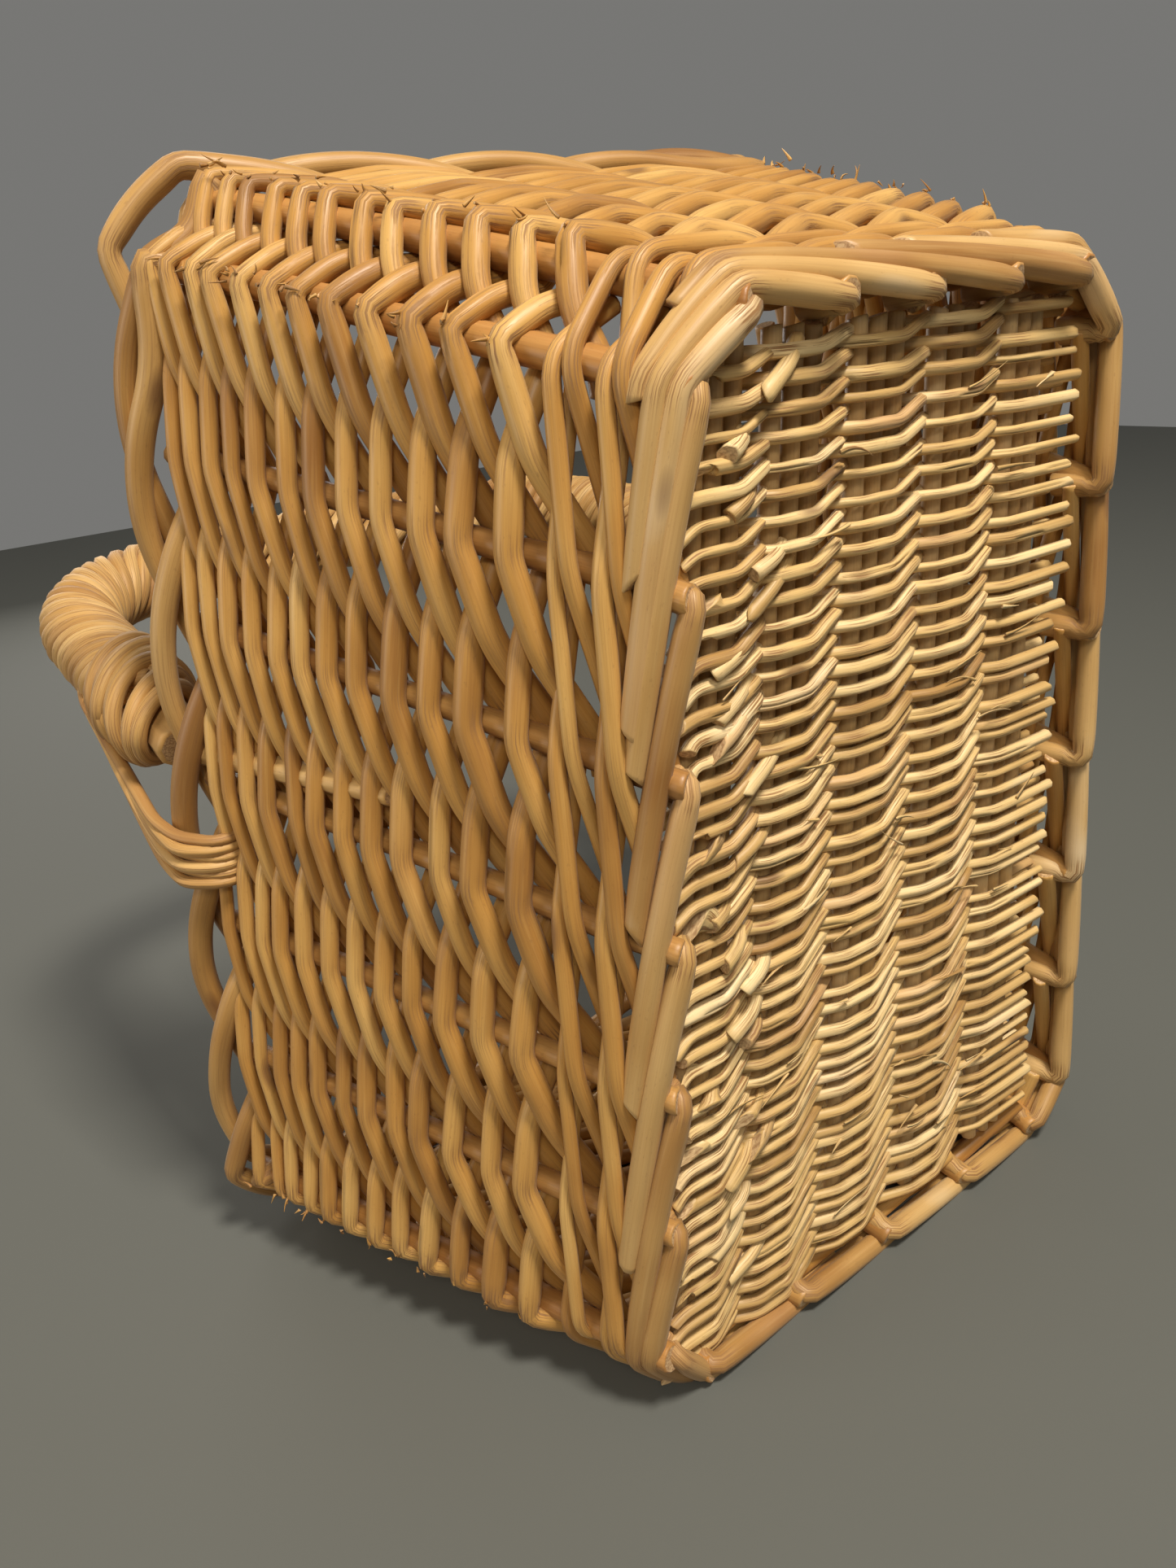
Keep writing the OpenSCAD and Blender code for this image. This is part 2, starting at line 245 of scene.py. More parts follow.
def rod(points, radiusStart, radiusEnd, reach=8 * mm, step=rodSizes["step"], sides=rodSizes["sides"],
        reference=(0, 0, 1), slantStart=0.25, slantEnd=0.25, cracks=(), crackTurn=0.0, wobble=0.035,
        flatten=0.0, rounded=True):
    # a closed tube: ring point = path + r (cos a across + sin a up),
    # where across = direction x reference and up = direction x across
    line = bent(points, reach) if rounded and len(points) > 2 else np.asarray(points, float)
    path, along = evenly(line, step)
    count = len(path)
    direction = unit(np.gradient(path, axis=0))
    across = unit(np.cross(direction, referenceAlong(reference, along)))
    up = np.cross(direction, across)
    middleRadius = (radiusStart + radiusEnd) / 2
    phases = rng.uniform(0, 6.28, 4)
    # radius along the rod: a straight taper times two waves
    lump = np.sin(along / rodSizes["slowLump"] + phases[0]) * 0.4
    lump = lump + np.sin(along / rodSizes["quickLump"] + phases[1]) * 0.35
    radius = (radiusStart + (radiusEnd - radiusStart) * (along / along[-1])) * (1 + wobble * lump)
    radius[[0, -1]] *= rodSizes["endShare"]
    # round the ring: a crack's bottom at angle 0 with its lips close by, then even steps
    lip = rodSizes["crackHalfWidth"]
    angle = np.concatenate([[0, lip], np.linspace(lip, 2 * math.pi - lip, sides - 1)[1:]])
    turned = angle + crackTurn
    # the section is a little oval and a little three-cornered, and flatter where the rod bends
    ovalPhase = phases[2] + along[:, None] / rodSizes["ovalTwist"]
    trianglePhase = phases[3] - along[:, None] / rodSizes["triangleTwist"]
    ring = 1 + wobble * 0.8 * np.sin(2 * turned[None] + ovalPhase)
    ring = ring + wobble * 0.5 * np.sin(3 * turned[None] + trianglePhase)
    turning = np.linalg.norm(np.gradient(direction, axis=0), axis=1) / np.maximum(np.gradient(along), 1e-6)
    bend = np.clip(smooth(turning, 2) * rodSizes["bendRadius"], 0, 1)
    ring = ring * (1 - flatten * bend[:, None] * np.abs(np.cos(turned[None])))
    for start, end, depth in cracks:
        fade = np.clip(np.minimum(along - start, end - along) / rodSizes["crackFade"], 0, 1)
        ring[:, 0] *= 1 - depth * fade
    ring = ring * radius[:, None]
    aside = np.cos(turned)[None, :, None] * across[:, None] + np.sin(turned)[None, :, None] * up[:, None]
    offset = ring[..., None] * aside
    # slant s moves a ring near an end back by s r (1 + cos(a - phase)), so the cut end is a slanted plane
    for slant, distance, sign in ((slantStart, along, 1), (slantEnd, along[-1] - along, -1)):
        deep = rodSizes["slantDepth"] * slant * middleRadius
        fall = np.clip(1 - distance / max(deep, 1e-6), 0, 1)[:, None]
        back = slant * ring * (1 + np.cos(turned[None] - phases[2])) * fall
        offset = offset + sign * back[..., None] * direction[:, None]
    rings = path[:, None] + offset
    vertices = np.concatenate([rings.reshape(-1, 3), [rings[0].mean(axis=0), rings[-1].mean(axis=0)]])
    quads, caps = tubeFaces(count, sides)
    # the grain runs straight along every rod, from a place of its own in the wood
    shift = rng.uniform(-5, 5, 3)
    grain = np.stack([
        np.cos(angle)[None] * middleRadius + np.zeros((count, 1)),
        np.sin(angle)[None] * middleRadius + np.zeros((count, 1)),
        along[:, None] + np.zeros((1, sides))], axis=-1).reshape(-1, 3)
    grain = np.concatenate([grain, [[0, 0, 0], [0, 0, along[-1]]]]) + shift
    return {"vertices": vertices, "quads": quads, "caps": caps, "grain": grain,
            "bend": np.concatenate([np.repeat(bend, sides), [0, 0]]),
            "tone": np.full(len(vertices), rng.uniform(0, 1))}


def splinter(start, direction, length, width, curl):
    # a thin tapering strip: point = start + length (s direction + s^2 curl)
    s = np.linspace(0, 1, 6)[:, None]
    path = start + s * length * unit(direction) + s ** 2 * length * curl
    return rod(path, width, width * 0.12, step=length / 6, sides=5, reference=(0.31, 0.2, 0.93),
               slantStart=0, slantEnd=0, wobble=0.02, rounded=False)


def store(mesh, key, kind, domain, field, values):
    # one value or vector for each point or face, for the material to read
    mesh.attributes.new(key, kind, domain).data.foreach_set(field, values.astype(np.float32).ravel())


def makePiece(name, rods, material, replaced):
    # one mesh of all the rods' vertices, quads and caps, with the bend, tone, grain and cut stored on it
    whole = {key: np.concatenate([r[key] for r in rods]) for key in ("vertices", "bend", "tone", "grain")}
    starts = np.cumsum([0] + [len(r["vertices"]) for r in rods[:-1]])
    quads = np.concatenate([r["quads"] + s for r, s in zip(rods, starts)])
    caps = np.concatenate([r["caps"] + s for r, s in zip(rods, starts)])
    mesh = bpy.data.meshes.new(name)
    mesh.vertices.add(len(whole["vertices"]))
    mesh.vertices.foreach_set("co", whole["vertices"].astype(np.float32).ravel())
    loops = np.concatenate([quads.ravel(), caps.ravel()])
    mesh.loops.add(len(loops))
    mesh.loops.foreach_set("vertex_index", loops.astype(np.int32))
    mesh.polygons.add(len(quads) + len(caps))
    loopStarts = np.concatenate([np.arange(len(quads)) * 4, len(quads) * 4 + np.arange(len(caps)) * 3])
    mesh.polygons.foreach_set("loop_start", loopStarts.astype(np.int32))
    cut = np.concatenate([np.zeros(len(quads)), np.ones(len(caps))])
    mesh.polygons.foreach_set("use_smooth", cut == 0)
    mesh.update(calc_edges=True)
    mesh.validate()
    store(mesh, "bend", "FLOAT", "POINT", "value", whole["bend"])
    store(mesh, "tone", "FLOAT", "POINT", "value", whole["tone"])
    store(mesh, "grain", "FLOAT_VECTOR", "POINT", "vector", whole["grain"])
    store(mesh, "cut", "FLOAT", "FACE", "value", cut)
    mesh.materials.append(material)
    piece = bpy.data.objects.new(name, mesh)
    bpy.context.scene.collection.objects.link(piece)
    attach(piece, "root")
    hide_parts(*replaced)
    return piece


# patterns in the wood: scale, squeeze along the rod, detail, roughness
woodPatterns = {
    "drift": (26.0, 0.5, 2.0, 0.55),
    "stain": (11.0, 0.8, 2.0, 0.55),
    "fibres": (1500.0, 0.018, 4.0, 0.65),
    "streaks": (520.0, 0.03, 3.0, 0.6),
    "speckle": (900.0, 0.35, 2.0, 0.6)}
woodColours = {
    "speckle": (0.20, 0.09, 0.03), "pink": (0.62, 0.33, 0.22), "scuff": (0.74, 0.66, 0.52),
    "crack": (0.30, 0.15, 0.05), "knot": (0.16, 0.07, 0.025),
    "cut": (0.66, 0.46, 0.24), "pith": (0.30, 0.16, 0.07)}


def willow(name, look):
    # peeled willow: long fibres and a slow drift of colour along the rod, knots, cracked bends, pale cut ends
    material = bpy.data.materials.new(name)
    material.use_nodes = True
    tree = material.node_tree
    links = tree.links
    shader = tree.nodes["Principled BSDF"]

    def add(kind, **values):
        # a new node with its settings
        node = tree.nodes.new(kind)
        for key, value in values.items():
            setattr(node, key, value)
        return node

    def feed(socket, value):
        # a number, a colour or another node's output into a socket
        if isinstance(value, (int, float)):
            socket.default_value = value
        elif isinstance(value, tuple):
            socket.default_value = (*value, 1)
        else:
            links.new(value, socket)

    def attribute(key, output):
        # what makePiece stored under that key
        return add("ShaderNodeAttribute", attribute_name=key).outputs[output]

    def maths(operation, a, b, clamp=False):
        # a and b added, multiplied or compared
        node = add("ShaderNodeMath", operation=operation, use_clamp=clamp)
        feed(node.inputs[0], a)
        feed(node.inputs[1], b)
        return node.outputs[0]

    def mix(share, a, b, blend="MIX"):
        # colour a with a share of colour b
        node = add("ShaderNodeMix", data_type="RGBA", blend_type=blend)
        feed(node.inputs[0], share)
        feed(node.inputs[6], a)
        feed(node.inputs[7], b)
        return node.outputs[2]

    def tint(colour, share, amount, other, blend="MIX"):
        # the colour with share times amount of another
        return mix(maths("MULTIPLY", share, amount), colour, other, blend)

    def squeezed(squeeze):
        # the grain's coordinates, with the way along the rod made shorter
        mapping = add("ShaderNodeMapping")
        mapping.inputs["Scale"].default_value = (1, 1, squeeze)
        links.new(attribute("grain", "Vector"), mapping.inputs["Vector"])
        return mapping.outputs[0]

    def noise(pattern):
        # one of the wood's patterns, from 0 to 1
        scale, squeeze, detail, roughness = woodPatterns[pattern]
        node = add("ShaderNodeTexNoise")
        node.inputs["Scale"].default_value = scale
        node.inputs["Detail"].default_value = detail
        node.inputs["Roughness"].default_value = roughness
        links.new(squeezed(squeeze), node.inputs["Vector"])
        return node.outputs["Fac"]

    def span(value, low, high):
        # 0 up to low, 1 from high, and a straight line between
        node = add("ShaderNodeMapRange")
        node.inputs["From Min"].default_value = low
        node.inputs["From Max"].default_value = high
        links.new(value, node.inputs["Value"])
        return node.outputs[0]

    bend = attribute("bend", "Fac")
    cut = attribute("cut", "Fac")
    drift = noise("drift")
    fibres = noise("fibres")
    streaks = noise("streaks")
    speckle = noise("speckle")
    knotCells = add("ShaderNodeTexVoronoi")
    knotCells.inputs["Scale"].default_value = look["knotScale"]
    links.new(squeezed(0.42), knotCells.inputs["Vector"])
    knot = maths("SUBTRACT", 1.0, span(knotCells.outputs["Distance"], 0.05, 0.13))
    # the wood's own colour: dark to light by the slow drift and by each rod's tone
    ramp = add("ShaderNodeValToRGB")
    ramp.color_ramp.elements[0].position = 0.25
    ramp.color_ramp.elements[0].color = (*look["dark"], 1)
    ramp.color_ramp.elements[1].position = 0.78
    ramp.color_ramp.elements[1].color = (*look["light"], 1)
    ramp.color_ramp.elements.new(0.5).color = (*look["mid"], 1)
    shade = maths("ADD", maths("MULTIPLY", drift, 0.70), maths("MULTIPLY", attribute("tone", "Fac"), 0.30))
    links.new(shade, ramp.inputs["Fac"])
    colour = tint(ramp.outputs["Color"], span(fibres, 0.42, 0.70), look["fibre"], look["dark"], "MULTIPLY")
    colour = tint(colour, span(streaks, 0.52, 0.74), 0.24, look["light"])
    colour = tint(colour, span(speckle, 0.63, 0.78), 0.30, woodColours["speckle"])
    colour = tint(colour, span(noise("stain"), 0.58, 0.76), look["pink"], woodColours["pink"])
    colour = tint(colour, span(drift, 0.62, 0.80), look["scuff"], woodColours["scuff"])
    # fibres open where the rod bends, knots are dark, and a cut end is pale with specks of pith
    cracked = maths("MULTIPLY", maths("MULTIPLY", bend, span(fibres, 0.50, 0.66)), look["crack"], clamp=True)
    colour = mix(cracked, colour, woodColours["crack"])
    colour = tint(colour, knot, 0.72, woodColours["knot"])
    cutFace = mix(span(speckle, 0.35, 0.65), woodColours["cut"], woodColours["pith"])
    colour = tint(colour, cut, 0.85, cutFace)
    links.new(colour, shader.inputs["Base Color"])
    rough = maths("ADD", look["rough"], maths("MULTIPLY", streaks, 0.22))
    rough = maths("ADD", rough, maths("MULTIPLY", maths("MAXIMUM", cut, cracked), 0.25), clamp=True)
    links.new(rough, shader.inputs["Roughness"])
    shader.inputs["IOR"].default_value = 1.46
    shader.inputs["Sheen Weight"].default_value = 0.06
    height = maths("ADD", maths("MULTIPLY", fibres, 0.35), maths("MULTIPLY", streaks, 0.45))
    height = maths("SUBTRACT", height, maths("MULTIPLY", knot, 0.9))
    height = maths("SUBTRACT", height, maths("MULTIPLY", cracked, 1.1))
    bump = add("ShaderNodeBump")
    bump.inputs["Strength"].default_value = look["bump"]
    bump.inputs["Distance"].default_value = 0.5 * mm
    links.new(height, bump.inputs["Height"])
    links.new(bump.outputs[0], shader.inputs["Normal"])
    return material


weaverLook = {
    "dark": (0.30, 0.132, 0.029), "mid": (0.52, 0.265, 0.060), "light": (0.70, 0.430, 0.135),
    "fibre": 0.22, "knotScale": 26.0, "pink": 0.06, "scuff": 0.0, "crack": 2.4, "rough": 0.31, "bump": 0.34}
stakeLook = {
    **weaverLook, "dark": (0.36, 0.17, 0.045), "mid": (0.50, 0.265, 0.075), "light": (0.60, 0.36, 0.125)}
postLook = {
    **weaverLook, "dark": (0.36, 0.155, 0.038), "mid": (0.50, 0.245, 0.062), "light": (0.58, 0.32, 0.10)}
footLook = {
    **weaverLook, "mid": (0.52, 0.300, 0.095), "light": (0.68, 0.450, 0.185),
    "fibre": 0.14, "pink": 0.18, "scuff": 0.40, "rough": 0.34, "bump": 0.26}
rimLook = {
    **weaverLook, "dark": (0.27, 0.120, 0.028), "mid": (0.44, 0.230, 0.060), "light": (0.60, 0.36, 0.12)}
stickLook = {
    **weaverLook, "dark": (0.42, 0.24, 0.08), "mid": (0.58, 0.38, 0.155), "light": (0.72, 0.52, 0.27)}
floorLook = {
    **weaverLook, "dark": (0.41, 0.230, 0.068), "mid": (0.68, 0.455, 0.175), "light": (0.90, 0.700, 0.375),
    "fibre": 0.26, "knotScale": 34.0, "pink": 0.26, "scuff": 0.30, "rough": 0.35}
handleLook = {
    **weaverLook, "dark": (0.34, 0.160, 0.042), "mid": (0.54, 0.305, 0.090), "light": (0.70, 0.450, 0.175),
    "fibre": 0.12, "rough": 0.42, "bump": 0.22}

weaverWillow = willow("willow_weaver", weaverLook)
stakeWillow = willow("willow_stake", stakeLook)
postWillow = willow("willow_post", postLook)
footWillow = willow("willow_foot", footLook)
rimWillow = willow("willow_rim", rimLook)
stickWillow = willow("willow_stick", stickLook)
floorWillow = willow("willow_floor", floorLook)
handleWillow = willow("willow_handle", handleLook)
print("willow mixed")


stakeSizes = {
    "radius": 5.3 * mm, "postRadius": 6.0 * mm, "low": -1.0 * mm, "topGap": 12.0 * mm,
    "points": 7, "sway": 0.5 * mm}


def standingRod(number, radius):
    # a stake from under the floor to just below the rim's top rods, with a slight sway of its own
    count = stakeSizes["points"]
    heights = np.linspace(footZ + stakeSizes["low"], rimZ - stakeSizes["topGap"], count)
    sway = rng.normal(0, stakeSizes["sway"], (count, 2))
    points = stakeAt(np.full(count, float(number)), heights)
    points[:, :2] += sway
    return rod(points, radius * 1.04, radius * 0.92, reach=18 * mm, reference=(1, 0.2, 0))


for place, wall in enumerate(walls):
    first, last = firstStakes[place], lastStakes[place]
    stakes = [standingRod(n, stakeSizes["radius"]) for n in range(first + 1, last)]
    makePiece(wall + "_wall_stakes", stakes, stakeWillow, [wall + "_stakes"])
    pair = [standingRod(n % stakeTotal, stakeSizes["postRadius"]) for n in (last, last + 1)]
    makePiece(corners[place] + "_corner_posts", pair, postWillow, [corners[place] + "_posts"])
print("stakes made")


# French randing: one weaver starts at every stake, passes in front of one and behind the next, and climbs
randing = {
    "rounds": 12, "lowGap": 41 * mm, "highGap": 24 * mm, "curve": 0.34,
    "butt": 5.4 * mm, "buttSpread": (0.88, 1.12), "tip": 3.1 * mm, "tipSpread": (0.9, 1.15),
    "press": 0.95, "heightSpread": 0.9 * mm,
    "midDepth": 6.0 * mm, "midSpread": 0.5 * mm, "midReach": 8 * mm,
    "kinkReach": 4.0 * mm, "postReach": 2.8 * mm,
    "crackAtPost": 0.75, "crackElsewhere": 0.10, "crackDepth": (0.35, 0.62)}
weaveLow = footZ + randing["lowGap"]
weaveHigh = rimZ - randing["highGap"]


def levelZ(level):
    # height of a level: low + (high - low) ((1 + c) x - c x^2), where x = level / rounds,
    # so courses lie closer near the rim
    x = np.asarray(level, float) / randing["rounds"]
    return weaveLow + (weaveHigh - weaveLow) * ((1 + randing["curve"]) * x - randing["curve"] * x ** 2)


def alternated(atStakes, between):
    # one value at each stake with one between each two of them
    values = np.empty(len(atStakes) + len(between))
    values[::2] = atStakes
    values[1::2] = between
    return values


def postSplinters(place, ahead, out, radius):
    # a few torn strips on the outside of a weaver's sharp bend at a corner post
    strips = []
    for _ in range(rng.integers(1, 5)):
        start = place + rng.normal(0, 1.4 * mm, 3) + out * radius * 0.8
        way = unit(ahead) * rng.choice([-1, 1]) + rng.normal(0, 0.35, 3)
        length = rng.uniform(2.5, 6.5) * mm
        width = rng.uniform(0.5, 1.2) * mm
        strips.append(splinter(start, way + out * 0.30, length, width, rng.normal(0, 0.25, 3)))
    return strips


def weaver(firstStake):
    # stroke i lies at stake first + i: inside at level i/2 when i is even, outside at level (i+1)/2 when odd
    count = 2 * randing["rounds"]
    strokes = np.arange(count + 1)
    numbers = firstStake + strokes.astype(float)
    outside = strokes % 2 == 1
    heights = levelZ((strokes + 1) // 2) + rng.normal(0, randing["heightSpread"], count + 1)
    butt = randing["butt"] * rng.uniform(*randing["buttSpread"])
    tip = randing["tip"] * rng.uniform(*randing["tipSpread"])
    radii = butt + (tip - butt) * strokes / count
    atPost = nearPost(numbers)
    stakeRadii = np.where(atPost, stakeSizes["postRadius"], stakeSizes["radius"])
    depths = np.where(outside, 1, -1) * (stakeRadii + radii) * randing["press"]
    # halfway between two stakes all the rods lie side by side, a little outside the line if the gap is wide
    gap = np.linalg.norm(np.diff(stakeAt(numbers, heights), axis=0), axis=1)
    wide = np.clip((gap - 20 * mm) / (40 * mm), 0, 1)
    midDepths = randing["midDepth"] * wide + rng.normal(0, randing["midSpread"], count)
    points = wallPoints(
        alternated(numbers, (numbers[:-1] + numbers[1:]) / 2),
        alternated(depths, midDepths),
        alternated(heights, (heights[:-1] + heights[1:]) / 2))
    # the butt runs a little past the first stake, on the inside
    before = wallPoints([numbers[0] - 0.18], [depths[0] - 1 * mm], [heights[0] - 1 * mm])
    points = np.concatenate([before, points])
    kinks = np.where(atPost, randing["postReach"], randing["kinkReach"])
    reach = alternated(kinks, np.full(count, randing["midReach"]))[:-1]
    length = lengthAlong(points)
    cracks = []
    for stroke in strokes[1:-1]:
        middle = length[1 + 2 * stroke]
        if rng.uniform() < (randing["crackAtPost"] if atPost[stroke] else randing["crackElsewhere"]):
            start = middle - rng.uniform(8, 26) * mm
            end = middle + rng.uniform(8, 30) * mm
            cracks.append((start, end, rng.uniform(*randing["crackDepth"])))
    crackTurn = rng.uniform(-0.9, 0.3)
    made = [rod(points, butt, tip, reach=reach, cracks=cracks, crackTurn=crackTurn, flatten=0.12)]
    for stroke in strokes[outside & atPost]:
        bendPoint = points[1 + 2 * stroke]
        ahead = points[2 + 2 * stroke] - bendPoint
        made += postSplinters(bendPoint, ahead, outwardAt(numbers[stroke]), radii[stroke])
    return made


weaveNodes = [wall + "_weave" for wall in walls] + [corner + "_corner_weave" for corner in corners]
for index in range(stakeTotal):
    makePiece(f"wall_weaver_{index + 1:02d}", weaver(index), weaverWillow, weaveNodes)
print("walls woven")


waling = {
    "rods": 24, "radius": 4.1 * mm, "spread": (0.85, 1.15), "bays": 6, "press": 0.97,
    "low": 12 * mm, "climb": 37 * mm}
waleNodes = [wall + "_wale" for wall in walls] + [corner + "_corner_wale" for corner in corners]


def waleRod(index):
    # a short rod from each stake goes outside two stakes and inside one, and climbs evenly over its six bays
    strokes = np.arange(waling["bays"] + 1)
    inside = strokes % 3 == 0
    radius = waling["radius"] * rng.uniform(*waling["spread"])
    depths = np.where(inside, -1, 1) * (stakeSizes["radius"] + radius) * waling["press"]
    heights = footZ + waling["low"] + strokes / waling["bays"] * waling["climb"]
    points = wallPoints(index + strokes.astype(float), depths, heights)
    return rod(points, radius, radius * 0.8, reach=10 * mm, flatten=0.1)


makePiece("wale_rods", [waleRod(i) for i in range(waling["rods"])], weaverWillow, waleNodes)
print("wale made")


footSizes = {
    "radius": 5.4 * mm, "spread": (0.9, 1.06), "run": 143 * mm, "rise": 15 * mm,
    "stepOut": 17.5 * mm, "start": -1.5 * mm, "easing": 90 * mm,
    "stubTop": 24 * mm, "stubIn": 3 * mm, "stubReach": 5 * mm,
    "postReach": 4 * mm, "reach": 20 * mm, "cracked": 0.3}


def ringWalk(number, z, run):
    # stake numbers backwards round the ring, at every half stake until the walk is as long as run,
    # and the length walked at each
    steps = np.arange(0, 9, 0.5)
    length = lengthAlong(stakeAt(number - steps, np.full(len(steps), z)))
    keep = length < run - 6 * mm
    steps = np.append(steps[keep], np.interp(run, length, steps))
    return number - steps, np.append(length[keep], run)


def footRod(number):
    # the stake's butt comes down, bends square and runs back past two or three stakes:
    # depth = start + step out (1 - e^(-length / easing)) from the ring, height = r + rise length / run
    radius = footSizes["radius"] * rng.uniform(*footSizes["spread"])
    run = footSizes["run"] + rng.uniform(-14, 12) * mm
    numbers, length = ringWalk(number, footZ, run)
    depths = footSizes["stepOut"] * (1 - np.exp(-length / footSizes["easing"])) + footSizes["start"]
    points = wallPoints(numbers, depths, np.full(len(numbers), footZ))
    points[:, 2] = radius + footSizes["rise"] * length / run
    reach = np.where(nearPost(numbers), footSizes["postReach"], footSizes["reach"])
    reach[0] = footSizes["stubReach"]
    stub = points[0] + [0, 0, footSizes["stubTop"]] - outwardAt(number) * footSizes["stubIn"]
    points = np.concatenate([[stub], points])
    cracks = []
    if rng.uniform() < footSizes["cracked"]:
        cracks.append((rng.uniform(20, 60) * mm, rng.uniform(90, 150) * mm, 0.5))
    return rod(points, radius, radius * 0.88, reach=reach[:-1], reference=(0.05, 0.1, 1), flatten=0.14,
               cracks=cracks, crackTurn=rng.uniform(3.6, 5.2), slantEnd=rng.uniform(0.2, 1.4))


for place, wall in enumerate(walls):
    rods = [footRod(float(n)) for n in range(firstStakes[place], lastStakes[place] + 1)]
    replaced = [wall + "_foot_rods", corners[place] + "_corner_foot_rod"]
    makePiece(wall + "_foot_border", rods, footWillow, replaced)
print("foot border made")


rimSizes = {
    "radius": 6.3 * mm, "spread": (0.92, 1.10), "run": 172 * mm, "riseSpread": 0.6 * mm,
    "postReach": 4.5 * mm, "reach": 22 * mm}
# along a rim rod: length walked, depth outside the stakes' line, height from the top rods' centres
rimCourse = np.array([
    [0, -8, -27], [34, 6, -20], [64, 11.5, -10],
    [104, 10.5, -1.5], [140, -1, -0.5], [172, -11, -9]]) * mm


def rimRod(number):
    # out from inside its own stake, up past the next, over the top and back inside behind the third
    radius = rimSizes["radius"] * rng.uniform(*rimSizes["spread"])
    numbers, length = ringWalk(number, rimZ, rimSizes["run"])
    depths = np.interp(length, rimCourse[:, 0], rimCourse[:, 1])
    rises = np.interp(length, rimCourse[:, 0], rimCourse[:, 2])
    rises = rises + rng.normal(0, rimSizes["riseSpread"], len(length))
    points = wallPoints(numbers, depths, rimZ + rises)
    if nearPost(number):
        # at a post the rod has to be outside at once, to go round the corner
        points[0] = wallPoints(number, 8.5 * mm, rimZ - 21 * mm)
        inner = wallPoints(number + 0.02, -12 * mm, rimZ - 27 * mm)
        points = np.concatenate([[inner], points])
        numbers = np.append(number, numbers)
    reach = np.where(nearPost(numbers), rimSizes["postReach"], rimSizes["reach"])[1:-1]
    return rod(points, radius, radius * 0.84, reach=reach, flatten=0.12)


for place, wall in enumerate(walls):
    rods = [rimRod(float(n)) for n in range(firstStakes[place], lastStakes[place] + 1)]
    replaced = [wall + "_rim_rods", corners[place] + "_corner_rim_rods"]
    makePiece(wall + "_rim_border", rods, rimWillow, replaced)
print("rim border made")


# the floor is five bundles of three sticks along the basket and fine weavers across them
floorSizes = {
    "shares": (-0.85, -0.525, -0.14, 0.26, 0.65),  # the bundles' places, as shares of the half width
    "stickRadius": 4.1 * mm, "stickPitch": 9.2 * mm, "stickEndGap": 8 * mm,
    "inset": 4 * mm, "weaverRadius": 2.7 * mm, "pitch": 4.6 * mm, "endGap": 10 * mm,
    "slantNarrow": 4 * mm, "slantWide": 12 * mm, "slantSpread": (0.8, 1.2),
    "thin": (0.68, 0.95), "thick": (0.9, 1.2), "thinShare": 0.3, "scarfed": 0.3,
    "reach": 3.2 * mm, "step": 2.4 * mm, "sides": 9,
    "stubs": 23, "splinters": 46}
floorLow, floorHigh = boxOf("base_weave")
stickZ = (floorLow[2] + floorHigh[2]) / 2
floorDepth = floorSizes["stickRadius"] + floorSizes["weaverRadius"] * 0.97
lastBundle = len(floorSizes["shares"]) - 1


def floorHalf(x):
    # half width of the foot ring at x: a straight line between the half widths of the left and right ends
    left = (lowLine[lastStakes[2], 1] - lowLine[firstStakes[0], 1]) / 2
    right = (lowLine[firstStakes[2], 1] - lowLine[lastStakes[0], 1]) / 2
    leftEnd, rightEnd = lowLine[firstStakes[0], 0], lowLine[lastStakes[0], 0]
    return left + (right - left) * (np.asarray(x) - leftEnd) / (rightEnd - leftEnd)


def bundleY(share, x):
    # the middle of a bundle at x: its share of the half width less the inset
    return baseCentre[1] + share * (floorHalf(x) - floorSizes["inset"])


def floorStick(share, n):
    # stick n of a bundle, from end to end of the floor, with a slight sway of its own
    xs = np.array([leftX + floorSizes["stickEndGap"], baseCentre[0], rightX - floorSizes["stickEndGap"]])
    ys = bundleY(share, xs) + n * floorSizes["stickPitch"] + rng.normal(0, 0.5 * mm, 3)
    zs = stickZ + rng.normal(0, 0.4 * mm, 3)
    radius = floorSizes["stickRadius"]
    return rod(np.stack([xs, ys, zs], axis=1), radius, radius * 0.95, reach=80 * mm)


for index, share in enumerate(floorSizes["shares"]):
    sticks = [floorStick(share, n) for n in (-1, 0, 1)]
    makePiece(f"floor_sticks_{index + 1}", sticks, stickWillow, [f"base_sticks_{index + 1}"])

rowCount = int((baseLength - 2 * floorSizes["endGap"]) / floorSizes["pitch"]) + 1


